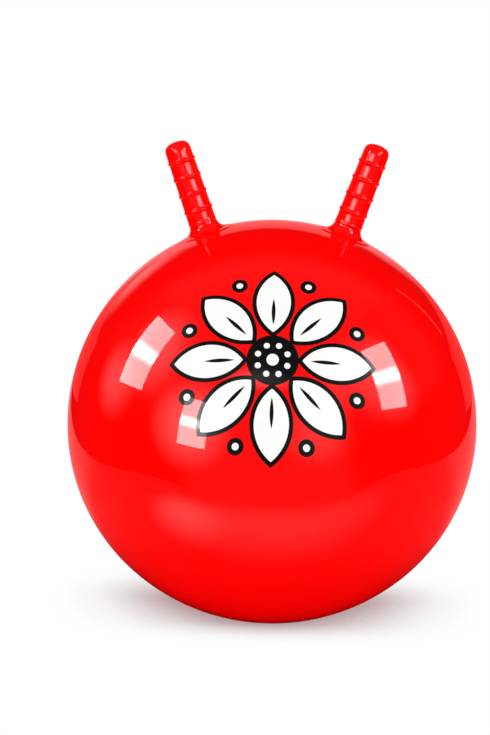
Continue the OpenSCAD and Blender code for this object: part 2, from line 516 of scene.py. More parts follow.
@dataclass(frozen=True)
class VinylFinish:
    """Glossy soft vinyl: a hazy body under a clear wet-looking surface, duller on the grips."""

    name: str
    colour: Colour
    deep_colour: Colour
    drift_size: float = 0.16
    haze: float = 0.30
    haze_spread: float = 0.05
    ripple_size: float = 0.11
    ripple_height: float = 0.00006
    grain_size: float = 0.0011
    grain_height: float = 0.000002
    body_gloss: float = 0.0
    clear: float = 1.0
    clear_haze: float = 0.025
    grip_haze: float = 0.025
    grip_height: float = 0.014
    grip_ripple: float = 0.0
    refraction: float = 1.45

    def material(self, group: NodeTree, form: BallForm) -> Material:
        """Builds the material.

        Args:
            group: The moulded vinyl node group.
            form: The ball's shape, above which the handles rise.

        Returns:
            The finished material.
        """
        material, sheet = new_material(self.name)
        away = sheet.add("ShaderNodeVectorMath", {0: sheet.place(), 1: (0, 0, form.middle)},
                         operation="DISTANCE").outputs["Value"]
        edges = (form.radius, form.radius + self.grip_height)
        mould = sheet.add("ShaderNodeGroup", {
            "Colour": rgba(self.colour), "Deep Colour": rgba(self.deep_colour),
            "Drift Size": self.drift_size, "Haze": self.haze, "Haze Spread": self.haze_spread,
            "Ripple Size": self.ripple_size,
            "Ripple Height": sheet.ramp(away, *edges, self.ripple_height, self.grip_ripple),
            "Grain Size": self.grain_size, "Grain Height": self.grain_height}, node_tree=group)
        sheet.cover(mould, {
            "Specular IOR Level": self.body_gloss, "IOR": self.refraction, "Coat Weight": self.clear,
            "Coat Roughness": sheet.ramp(away, *edges, self.clear_haze, self.grip_haze),
            "Coat IOR": self.refraction})
        return material


@dataclass(frozen=True)
class InkFinish:
    """Glossy screen-printed ink."""

    name: str
    ink: Colour
    thin_ink: Colour
    patch_size: float = 0.035
    mesh_size: float = 0.0009
    gloss_loss: float = 0.25
    mesh_height: float = 0.0000015
    body_gloss: float = 0.4
    clear: float = 0.7
    clear_haze: float = 0.04

    def material(self, group: NodeTree) -> Material:
        """Builds the material.

        Args:
            group: The printed ink node group.

        Returns:
            The finished material.
        """
        material, sheet = new_material(self.name)
        ink = sheet.add("ShaderNodeGroup", {
            "Ink": rgba(self.ink), "Thin Ink": rgba(self.thin_ink), "Patch Size": self.patch_size,
            "Mesh Size": self.mesh_size, "Gloss Loss": self.gloss_loss,
            "Mesh Height": self.mesh_height}, node_tree=group)
        sheet.cover(ink, {"Specular IOR Level": self.body_gloss, "Coat Weight": self.clear,
                          "Coat Roughness": self.clear_haze})
        return material


def smooth_as_ball(piece: Object, form: BallForm, wall_middle: float) -> None:
    """Shades a thin layer as the smooth ball that it lies on, whatever its cuts are.

    Args:
        piece: The layer.
        form: The ball's shape.
        wall_middle: Height over the ball below which a point belongs to the inner face.
    """
    normals = []
    for vertex in piece.data.vertices:
        gap, away = form.height_over(vertex.co)
        normals.append(away if gap > wall_middle else -away)
    piece.data.normals_split_custom_set_from_vertices(normals)


@dataclass
class AirValve:
    """The valve: a seat that is welded through the skin, and its push-in stopper."""

    form: BallForm
    lean: float = radians(28)
    flange_radius: float = 0.017
    flange_thick: float = 0.0013
    flange_round: float = 0.0006
    collar_radius: float = 0.012
    recess_radius: float = 0.0096
    recess_deep: float = 0.0026
    lip_round: float = 0.0004
    tube_radius: float = 0.007
    tube_long: float = 0.013
    bore_radius: float = 0.004
    wall: float = 0.0011
    shank_gap: float = 0.00005
    head_gap: float = 0.00035
    head_thick: float = 0.0022
    head_round: float = 0.0005
    shank_long: float = 0.010
    nose_long: float = 0.004
    nose_radius: float = 0.0022
    thumb_radius: float = 0.012
    thumb_deep: float = 0.0009
    seat_gap: float = 0.00005
    steps: int = 96
    lip_steps: int = 4
    edge_steps: int = 5
    top_steps: int = 6
    thumb_steps: int = 8

    @property
    def axis(self) -> Vector:
        """Unit direction out of the ball along the valve."""
        return Vector((0, sin(self.lean), cos(self.lean)))

    def stand(self, piece: Object) -> None:
        """Moves a piece from the Z axis onto the valve's axis.

        Args:
            piece: The piece, whose height 0 comes to lie on the skin.
        """
        piece.rotation_euler = (-self.lean, 0, 0)
        piece.location = self.form.above_skin(self.axis, 0)
        settle(piece)

    def skin_height(self, reach: float, lift: float) -> float:
        """Height along the axis of a surface that runs parallel to the skin."""
        radius = self.form.radius
        return sqrt((radius + lift) ** 2 - reach ** 2) - radius

    def cutter(self) -> Object:
        """Makes the shape of the hole that the skin has for the valve.

        Returns:
            A round plug through the skin.
        """
        low = -self.flange_radius
        tool = spin_outline("valve_hole", [
            (0, low), (self.collar_radius, low), (self.collar_radius, -low), (0, -low)], self.steps)
        self.stand(tool)
        return tool

    def seat_outline(self) -> Outline:
        """Half outline of the seat, from the mouth of the recess round to the bore and back.

        Returns:
            A closed outline.
        """
        edge = self.flange_radius - self.flange_round
        top = self.skin_height(edge, self.flange_thick)
        inner = -self.wall - self.flange_thick
        end = inner - self.tube_long
        floor = self.flange_thick - self.recess_deep
        lip = self.recess_radius + self.lip_round
        mouth = self.skin_height(lip, self.flange_thick)
        points: Outline = arc((lip, mouth - self.lip_round), self.lip_round, pi, QUARTER_TURN,
                              self.lip_steps)
        points += [(reach, self.skin_height(reach, self.flange_thick))
                   for reach in spread(lip, edge, self.top_steps)[1:]]
        points += arc((edge, top - self.flange_round), self.flange_round, QUARTER_TURN, 0,
                      self.edge_steps)[1:]
        points += [(reach, self.skin_height(reach, lift)) for reach, lift in (
            (self.flange_radius, self.seat_gap), (self.collar_radius, self.seat_gap),
            (self.collar_radius, -self.wall), (self.flange_radius, -self.wall),
            (self.flange_radius, inner), (self.tube_radius, inner))]
        points += [(self.tube_radius, end + self.flange_round), (self.tube_radius - self.flange_round, end),
                   (self.bore_radius, end), (self.bore_radius, floor - self.lip_round),
                   (self.bore_radius + self.lip_round, floor), (self.recess_radius - self.lip_round, floor),
                   (self.recess_radius, floor + self.lip_round)]
        return [*points, points[0]]

    def stopper_outline(self) -> Outline:
        """Half outline of the stopper, from the end of its nose to the middle of its thumb hollow.

        Returns:
            An outline that starts and ends on the axis.
        """
        shank = self.bore_radius - self.shank_gap
        head = self.recess_radius - self.head_gap
        low = self.flange_thick - self.recess_deep + self.head_gap
        top = low + self.head_thick
        nose = low - self.shank_long - self.nose_long
        hollow = top + self.thumb_radius - self.thumb_deep
        rim = asin(sqrt(self.thumb_radius ** 2 - (hollow - top) ** 2) / self.thumb_radius)
        points: Outline = [(0, nose)]
        points += arc((self.nose_radius - self.lip_round, nose + self.lip_round), self.lip_round,
                      -QUARTER_TURN, 0, self.lip_steps)
        points += [(shank, low - self.shank_long), (shank, low - self.lip_round),
                   (shank + self.lip_round, low), (head - self.head_round, low)]
        points += arc((head - self.head_round, low + self.head_round), self.head_round,
                      -QUARTER_TURN, 0, self.lip_steps)[1:]
        points += arc((head - self.head_round, top - self.head_round), self.head_round,
                      0, QUARTER_TURN, self.edge_steps)
        return points + arc((0, hollow), self.thumb_radius, rim - QUARTER_TURN, -QUARTER_TURN,
                            self.thumb_steps)

    def turned(self, name: str, outline: Outline) -> Object:
        """Turns a piece of the valve about the Z axis and stands it in its place.

        Args:
            name: Name of the piece.
            outline: Its half outline.

        Returns:
            The piece, shaded smooth between its sharp edges.
        """
        piece = spin_outline(name, outline, self.steps)
        bpy.ops.object.shade_smooth_by_angle(angle=SHARP_EDGE)
        self.stand(piece)
        return piece

    def build_seat(self, material: Material) -> Object:
        """Builds the valve's seat and dresses it.

        Args:
            material: Its finish.

        Returns:
            The seat, riding on the ball.
        """
        seat = self.turned("valve_seat", self.seat_outline())
        paint(seat, material, Slot.VALVE_VINYL)
        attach(seat, Body.BALL.value)
        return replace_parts(seat, "valve_body")

    def build_stopper(self, material: Material) -> Object:
        """Builds the stopper and dresses it.

        Args:
            material: Its finish.

        Returns:
            The stopper, riding on its own body.
        """
        stopper = self.turned("valve_stopper", self.stopper_outline())
        paint(stopper, material, Slot.WHITE_PLASTIC)
        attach(stopper, Body.PLUG.value)
        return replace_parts(stopper, "valve_plug")


@dataclass
class BallSkin:
    """The moulded skin: a thin wall, flat where it rests, with a hole for the valve."""

    form: BallForm
    wall: float = 0.0011
    steps: int = 192
    rows: int = 104
    foot_rows: int = 4

    def outline(self) -> Outline:
        """Half outline of the outer face, from the middle of the foot to the top.

        Returns:
            The outline's points.
        """
        foot = -acos(self.form.foot_radius / self.form.bottom_radius)
        flat = [(reach, 0.0) for reach in spread(0, self.form.foot_radius, self.foot_rows)]
        side = [self.form.outline_point(angle) for angle in spread(foot, QUARTER_TURN, self.rows)]
        return flat + side[1:-1] + [(0, side[-1][1])]

    def build(self, valve: AirValve, material: Material) -> Object:
        """Builds the skin and dresses it.

        Args:
            valve: The valve, whose collar passes through the skin.
            material: The skin's finish.

        Returns:
            The skin, riding on the ball's body.
        """
        skin = spin_outline("ball_shell", self.outline(), self.steps)
        thick = skin.modifiers.new("wall", "SOLIDIFY")
        thick.thickness = self.wall
        thick.offset = -1
        bpy.ops.object.modifier_apply(modifier=thick.name)
        combine(skin, valve.cutter(), Cut.TAKE_AWAY)
        smooth_as_ball(skin, self.form, -self.wall / 2)
        paint(skin, material, Slot.RED_VINYL)
        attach(skin, Body.BALL.value)
        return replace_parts(skin, "ball_skin")


@dataclass
class Horn:
    """One hollow handle: a pad on the skin, a fillet, a neck with a bead and a ribbed grip."""

    form: BallForm
    side: Side
    lean: float = radians(19.4)
    length: float = 0.103
    tip_width: float = 0.028
    root_width: float = 0.031
    tip_round: float = 0.0083
    tip_dome: float = 0.028
    pad_radius: float = 0.033
    pad_height: float = 0.0009
    pad_soft: float = 0.006
    fillet: float = 0.0115
    ring_count: int = 4
    ring_first: float = 0.0213
    ring_low: float = 0.0261
    ring_wide: float = 0.0042
    ring_high: float = 0.0012
    ring_row: float = 0.0003
    bead_lift: float = 0.0015
    bead_wide: float = 0.0036
    bead_high: float = 0.0004
    sink: float = 0.0003
    swell_power: float = 1.5
    bend_start: float = 0.004
    bend_end: float = 0.024
    steps: int = 112
    under_steps: int = 10
    pad_steps: int = 22
    fillet_steps: int = 18
    grip_steps: int = 36
    tip_steps: int = 14
    dome_steps: int = 8

    @property
    def axis(self) -> Vector:
        """Unit direction from the skin to the tip."""
        return Vector((self.side.value * sin(self.lean), 0, cos(self.lean)))

    def above_skin(self, height: float) -> Vector:
        """The point on the handle's axis at a height above the skin."""
        return self.form.above_skin(self.axis, height)

    def plain_radius(self, height: float) -> float:
        """Radius of the grip without its rings."""
        return (self.root_width + (self.tip_width - self.root_width) * height / self.length) / 2

    def swell(self, height: float, middle: float, wide: float, high: float) -> float:
        """How far a soft ring stands out at a height."""
        share = abs(height - middle) / (wide / 2)
        return high * (1 - share ** 2) ** self.swell_power if share < 1 else 0

    def rings(self) -> list[tuple[float, float, float]]:
        """Middle, width and height of each raised ring, the bead at the neck first.

        Returns:
            One entry for each ring.
        """
        pitch = (self.length - self.ring_first - self.ring_low) / (self.ring_count - 1)
        bead = (self.fillet_height() + self.bead_lift, self.bead_wide, self.bead_high)
        grip = [(self.ring_low + i * pitch, self.ring_wide, self.ring_high) for i in range(self.ring_count)]
        return [bead, *grip]

    def fillet_height(self) -> float:
        """Height of the middle of the fillet's arc."""
        reach = self.form.radius + self.pad_height + self.fillet
        return sqrt(reach ** 2 - self.fillet_middle() ** 2) - self.form.radius

    def fillet_middle(self) -> float:
        """From the axis out to the middle of the fillet's arc."""
        return self.plain_radius(self.fillet) + self.fillet

    def foot_outline(self) -> Outline:
        """Half outline of the pad and the fillet, from the middle of the underside up to the neck.

        Returns:
            The outline's points.
        """
        radius = self.form.radius
        centre = (0.0, -radius)
        fillet_middle = (self.fillet_middle(), self.fillet_height())
        foot = atan2(fillet_middle[1] + radius, fillet_middle[0])
        edge = acos(self.pad_radius / radius)
        points: Outline = arc(centre, radius - self.sink, QUARTER_TURN, edge, self.under_steps)
        points[0] = (0, -self.sink)
        for angle in spread(edge, foot, self.pad_steps):
            inside = min((cos(edge) - cos(angle)) * radius / self.pad_soft, 1)
            reach = radius + self.pad_height * smooth_step(inside)
            points.append((reach * cos(angle), reach * sin(angle) - radius))
        points += arc(fillet_middle, self.fillet, foot - pi, -pi, self.fillet_steps)[1:]
        return points

    def grip_outline(self) -> Outline:
        """Half outline of the neck and the grip, from the top of the fillet to the start of the tip.

        Returns:
            The outline's points.
        """
        corner = self.length - self.tip_dome + self.dome_reach()
        heights = set(spread(self.fillet_height(), corner, self.grip_steps))
        for middle, wide, _ in self.rings():
            count = round(wide / self.ring_row)
            heights |= set(spread(middle - wide / 2, middle + wide / 2, count))
        apart: list[float] = []
        for height in sorted(heights):
            if not apart or height - apart[-1] > self.ring_row / 2:
                apart.append(height)
        return [(self.plain_radius(height) + sum(self.swell(height, *ring) for ring in self.rings()), height)
                for height in apart[1:]]

    def dome_reach(self) -> float:
        """From the middle of the dome up to the middle of the tip's round."""
        corner = self.tip_width / 2 - self.tip_round
        return sqrt((self.tip_dome - self.tip_round) ** 2 - corner ** 2)

    def tip_outline(self) -> Outline:
        """Half outline of the rounded tip and its shallow dome.

        Returns:
            The outline's points, ending on the axis.
        """
        corner = self.tip_width / 2 - self.tip_round
        dome_middle = (0.0, self.length - self.tip_dome)
        touch = atan2(self.dome_reach(), corner)
        points = arc((corner, dome_middle[1] + self.dome_reach()), self.tip_round, 0, touch,
                     self.tip_steps)[1:]
        points += arc(dome_middle, self.tip_dome, touch, QUARTER_TURN, self.dome_steps)[1:-1]
        return points + [(0, self.length)]

    def build(self, material: Material) -> Object:
        """Builds the handle and dresses it.

        Args:
            material: Its finish.

        Returns:
            The handle, standing in its place.
        """
        word = self.side.name.lower()
        outline = self.foot_outline() + self.grip_outline() + self.tip_outline()
        horn = spin_outline(f"{word}_horn", outline, self.steps)
        horn.rotation_euler = (0, self.side.value * self.lean, 0)
        horn.location = self.above_skin(0)
        settle(horn)
        paint(horn, material, Slot.RED_VINYL)
        tuple(self.above_skin(self.bend_start))
        tuple(self.above_skin(self.bend_end))
        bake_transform(horn)
        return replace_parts(horn, f"{word}_handle_root", f"{word}_handle")


@dataclass
class FlowerPrint:
    """The print on the front: a flower in white, with black lines and a black middle."""

    form: BallForm
    height_angle: float = radians(31)
    petal_count: int = 8
    petal_near: float = 0.029
    petal_long: float = 0.068
    petal_wide: float = 0.034
    line: float = 0.0042
    stroke_long: float = 0.030
    stroke_wide: float = 0.0038
    stroke_in: float = 0.008
    middle_radius: float = 0.0255
    seed_ring: float = 0.0155
    seed_radius: float = 0.003
    heart_radius: float = 0.006
    outer_ring: float = 0.090
    outer_radius: float = 0.008
    spot_radius: float = 0.0034
    sheet_half: float = 0.104
    cell: float = 0.0026
    under: float = 0.00004
    proud: float = 0.00018
    tall: float = 0.01
    curve_steps: int = 40
    half_step: float = 0.5

    def lens(self, name: str, near: float, long: float, wide: float, grow: float) -> Object:
        """A prism in the outline of a lens that points along X.

        Args:
            name: Name of the prism.
            near: From the middle of the flower to the near end.
            long: Length of the lens.
            wide: Width of the lens.
            grow: How far the outline is moved outwards all round.

        Returns:
            The prism, through the middle plane.
        """
        radius = ((long / 2) ** 2 + (wide / 2) ** 2) / wide
        drop = radius - wide / 2
        half = acos(drop / (radius + grow))
        upper = arc((near + long / 2, -drop), radius + grow, QUARTER_TURN + half, QUARTER_TURN - half,
                    self.curve_steps)
        lower = [(x, -y) for x, y in upper[-2:0:-1]]
        return self.prism(name, upper + lower)

    def disc(self, name: str, radius: float, reach: float = 0) -> Object:
        """A round prism, with its middle that far out along X."""
        return self.prism(name, arc((reach, 0), radius, 0, FULL_TURN, 2 * self.curve_steps)[:-1])

    def prism(self, name: str, outline: Outline) -> Object:
        """Raises a flat outline into a prism.

        Args:
            name: Name of the prism.
            outline: The corners, in order.

        Returns:
            The prism, through the middle plane.
        """
        clear_selection()
        bpy.ops.mesh.primitive_circle_add(vertices=len(outline), radius=SEED_SIZE, fill_type="NGON")
        piece = bpy.context.object
        piece.name = name
        for vertex, (x, y) in zip(piece.data.vertices, outline):
            vertex.co = (x, y, 0)
        thicken(-self.tall / 2, self.tall / 2)
        return piece

    def round_copies(self, shape: Object, first: float) -> list[Object]:
        """Copies a shape round the flower, once for each petal.

        Args:
            shape: The shape, which points along X. It becomes the first copy.
            first: Steps of the first copy from the upright petal.

        Returns:
            The copies, each with its own mesh.
        """
        copies = [shape]
        for _ in range(1, self.petal_count):
            twin = shape.copy()
            twin.data = shape.data.copy()
            bpy.context.scene.collection.objects.link(twin)
            copies.append(twin)
        for i, twin in enumerate(copies):
            twin.rotation_euler = (0, 0, (i + first) * FULL_TURN / self.petal_count + QUARTER_TURN)
            settle(twin)
        return copies

    def join(self, shapes: list[Object]) -> Object:
        """Joins shapes that don't touch.

        Args:
            shapes: The shapes.

        Returns:
            The first one, with all the others in it.
        """
        pick(shapes[0])
        for shape in shapes:
            shape.select_set(True)
        bpy.ops.object.join()
        return bpy.context.object

    def white_shape(self) -> Object:
        """Everything white: the petals without their strokes, the seeds, the spots and the heart.

        Returns:
            One object of separate prisms.
        """
        petal = self.lens("petal", self.petal_near, self.petal_long, self.petal_wide, 0)
        stroke = self.lens("stroke", self.petal_near + self.stroke_in, self.stroke_long, self.stroke_wide, 0)
        combine(petal, stroke, Cut.TAKE_AWAY)
        seed = self.disc("seed", self.seed_radius, self.seed_ring)
        spot = self.disc("spot", self.spot_radius, self.outer_ring)
        heart = self.disc("heart", self.heart_radius)
        return self.join([*self.round_copies(petal, 0), *self.round_copies(seed, self.half_step),
                          *self.round_copies(spot, self.half_step), heart])

    def whole_shape(self) -> Object:
        """The whole print, black and white together.

        Returns:
            One object, with what overlaps fused.
        """
        whole = self.disc("whole", self.middle_radius)
        line = self.lens("line", self.petal_near, self.petal_long, self.petal_wide, self.line)
        for petal in self.round_copies(line, 0):
            combine(whole, petal, Cut.ADD)
        dot = self.disc("dot", self.outer_radius, self.outer_ring)
        return self.join([whole, *self.round_copies(dot, self.half_step)])

    def film(self, name: str) -> Object:
        """Makes a flat sheet of small cells, as thick as the ink.

        Args:
            name: Name of the sheet.

        Returns:
            The sheet, with what goes into the skin below height 0.
        """
        clear_selection()
        side = 2 * self.sheet_half
        count = round(side / self.cell)
        bpy.ops.mesh.primitive_grid_add(x_subdivisions=count, y_subdivisions=count, size=side)
        sheet = bpy.context.object
        sheet.name = name
        sheet.data.name = name
        thicken(-self.under, self.proud)
        return sheet

    def lay(self, sheet: Object) -> None:
        """Lays a flat film onto the ball, each point along the print's axis.

        Args:
            sheet: The film, flat about the XY plane.
        """
        tilt = QUARTER_TURN - self.height_angle
        out = Vector((0, -sin(tilt), cos(tilt)))
        up = Vector((0, cos(tilt), sin(tilt)))
        start = Vector((0, 0, self.form.middle)) + out * self.form.width / 2
        for vertex in sheet.data.vertices:
            flat = vertex.co.copy()
            spot, away = self.form.drop_onto(start + Vector((flat.x, 0, 0)) + up * flat.y, out)
            vertex.co = spot + away * flat.z
        smooth_as_ball(sheet, self.form, -self.form.width)

    def build(self, black: Material, white: Material) -> list[Object]:
        """Builds the two layers of ink and dresses them.

        Args:
            black: Finish of the black ink.
            white: Finish of the white ink.

        Returns:
            The black layer and the white layer, riding on the ball.
        """
        black_film = self.film("flower_black")
        combine(black_film, self.whole_shape(), Cut.KEEP_INSIDE)
        combine(black_film, self.white_shape(), Cut.TAKE_AWAY)
        white_film = self.film("flower_white")
        combine(white_film, self.white_shape(), Cut.KEEP_INSIDE)
        for film, node, material, slot in (
                (black_film, "print_black", black, Slot.BLACK_INK),
                (white_film, "print_white", white, Slot.WHITE_INK)):
            pick(film)
            bpy.ops.object.shade_smooth()
            self.lay(film)
            paint(film, material, slot)
            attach(film, Body.BALL.value)
            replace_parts(film, node)
        return [black_film, white_film]


@dataclass(frozen=True)
class LightFace:
    """A flat light that shows only in reflections: its place, size, glow and which pieces show it.

    Its glow is an even body with a soft edge, a brighter band across the middle and a soft round patch.
    """

    name: str
    place: tuple[float, float, float]
    wide: float
    high: float
    roll: float = 0.0
    body: float = 0.0
    band: float = 0.0
    band_share: float = 0.15
    glow: float = 0.0
    soft: float = 0.0
    aim: tuple[float, float, float] = (0, 0, 0.3)
    colour: Colour = (1, 1, 1)
    reach: Reach = Reach.ALL

    def material(self) -> Material:
        """Builds the glow: body, band and patch together.

        Returns:
            The glowing material, clear where it doesn't glow unless it is one even sheet.
        """
        material, sheet = new_material(self.name)
        place = sheet.place()
        across = sheet.sum("MULTIPLY", sheet.part(place, "X"), 2 / self.wide)
        along = sheet.sum("MULTIPLY", sheet.part(place, "Y"), 2 / self.high)
        off_band = sheet.sum("ABSOLUTE", along)
        band = sheet.ramp(off_band, 0, self.band_share * 2, self.band, 0)
        squares = sheet.sum("ADD", sheet.sum("POWER", across, 2), sheet.sum("POWER", along, 2))
        patch = sheet.ramp(sheet.sum("SQRT", squares), 0, 1, self.glow, 0)
        edge = sheet.sum("MAXIMUM", sheet.sum("ABSOLUTE", across), off_band)
        body = sheet.ramp(edge, 1 - self.soft, 1, self.body, 0) if self.soft else self.body
        strength = sheet.sum("ADD", sheet.sum("ADD", band, patch), body)
        light = sheet.add("ShaderNodeEmission", {"Color": rgba(self.colour), "Strength": strength})
        if self.soft or self.body == 0:
            clear = sheet.add("ShaderNodeBsdfTransparent")
            light = sheet.add("ShaderNodeAddShader", {0: light.outputs[0], 1: clear.outputs[0]})
        sheet.show(light)
        return material

    def build(self, handles: list[Object]) -> Object:
        """Stands the light in the studio, facing the ball.

        Args:
            handles: The two handles, for a light that shows in them alone or not at all.

        Returns:
            The light's face, seen in reflections alone.
        """
        clear_selection()
        bpy.ops.mesh.primitive_plane_add(size=1)
        face = bpy.context.object
        face.name = self.name
        for vertex in face.data.vertices:
            vertex.co.x *= self.wide
            vertex.co.y *= self.high
        back = (Vector(self.aim) - Vector(self.place)).normalized()
        turned = back.to_track_quat("Z", "Y").to_matrix().to_4x4()
        face.matrix_world = Matrix.Translation(self.place) @ turned @ Matrix.Rotation(self.roll, 4, "Z")
        face.data.materials.append(self.material())
        face.visible_camera = False
        face.visible_diffuse = False
        face.visible_shadow = False
        self.limit(face, handles)
        return face

    def limit(self, face: Object, handles: list[Object]) -> None:
        """Keeps the light off the pieces that it isn't for.

        Args:
            face: The light's face.
            handles: The two handles.
        """
        if self.reach is Reach.ALL:
            return
        lit = bpy.data.collections.new(f"{self.name}_reach")
        face.light_linking.receiver_collection = lit
        for handle in handles:
            lit.objects.link(handle)
        for entry in lit.collection_objects:
            entry.light_linking.link_state = self.reach.value


DEEP_RED: Colour = (1, 0.12, 0.12)
MID_RED: Colour = (1, 0.3, 0.3)
SOFT_RED: Colour = (1, 0.6, 0.6)
PALE_RED: Colour = (1, 0.7, 0.7)

LIGHTS = (
    LightFace("left_softbox", (-2.765, -0.030, 1.743), 1.02, 1.594, radians(-11.8), 10, 30,
              aim=(-0.126, -0.152, 0.332), reach=Reach.NOT_HANDLES),
    LightFace("low_softbox", (-2.070, -2.379, 0.829), 0.881, 1.280, radians(2.2), 13, 36,
              aim=(-0.074, -0.209, 0.276), reach=Reach.NOT_HANDLES),
    LightFace("right_softbox", (2.706, -0.844, 1.664), 0.933, 1.600, radians(12.1), 10, 34,
              aim=(0.110, -0.173, 0.318), reach=Reach.NOT_HANDLES),
    LightFace("left_grip_card", (1.39, -1.83, 0.90), 2.2, 1.0, radians(-17), glow=8,
              aim=(-0.12, 0, 0.50), reach=Reach.HANDLES),
    LightFace("right_grip_card", (-1.00, -2.10, 0.80), 2.5, 1.0, radians(17), glow=8,
              aim=(0.12, 0, 0.50), reach=Reach.HANDLES),
    LightFace("left_grip_spot", (-2.0, -1.1, 1.56), 0.7, 0.9, glow=34, aim=(0, 0, 0.50), reach=Reach.HANDLES),
    LightFace("right_grip_spot", (2.0, -1.1, 1.56), 0.7, 0.9, glow=34, aim=(0, 0, 0.50), reach=Reach.HANDLES),
    LightFace("left_halo", (-2.66, -0.37, 2.04), 2.8, 2.8, glow=1.6, reach=Reach.NOT_HANDLES),
    LightFace("low_halo", (-2.30, -2.40, 0.83), 3.3, 3.2, glow=2.4, reach=Reach.NOT_HANDLES),
    LightFace("right_halo", (2.52, -1.12, 1.85), 2.8, 2.8, glow=1.3, reach=Reach.NOT_HANDLES),
    LightFace("left_low_halo", (-3.00, 0.42, 0.94), 2.1, 1.9, glow=1.0, reach=Reach.NOT_HANDLES),
    LightFace("right_low_halo", (2.85, -0.76, 1.26), 2.1, 1.8, glow=0.8, reach=Reach.NOT_HANDLES),
    LightFace("upper_card", (1.69, -2.16, 1.76), 2.0, 2.0, glow=0.55, reach=Reach.NOT_HANDLES),
    LightFace("top_card", (-0.27, -1.92, 1.71), 1.9, 0.65, glow=1.9, reach=Reach.NOT_HANDLES),
    LightFace("front_card", (1.18, -2.65, 0.75), 2.4, 2.2, glow=0.95, reach=Reach.NOT_HANDLES),
    LightFace("flag", (2.15, -1.05, 0.12), 1.7, 0.52, body=0.01),
    LightFace("floor_glow", (0.04, -0.42, 0.002), 1.3, 0.38, glow=0.5, aim=(0.04, -0.42, 1)),
    LightFace("left_floor_glow", (-0.28, -0.36, 0.003), 0.42, 0.32, glow=1.1, aim=(-0.28, -0.36, 1)),
    LightFace("backdrop", (0.1, 2.52, 0.2), 5.3, 0.9, body=0.85, aim=(0.1, 0, 0.2), colour=DEEP_RED),
    LightFace("backdrop_middle", (-0.1, 2.50, 0.95), 2.0, 1.7, body=0.95, soft=0.25, aim=(-0.1, 0, 0.95),
              colour=MID_RED),
    LightFace("backdrop_left", (-1.40, 2.49, 1.15), 1.7, 1.5, glow=0.9, aim=(-1.4, 0, 1.15), colour=PALE_RED),
    LightFace("backdrop_right", (0.90, 2.48, 0.90), 0.8, 1.0, glow=0.5, aim=(0.9, 0, 0.9), colour=PALE_RED),
    LightFace("right_strip", (2.40, 2.47, 1.60), 0.12, 1.4, body=0.4, aim=(2.4, 0, 1.6), colour=SOFT_RED),
)


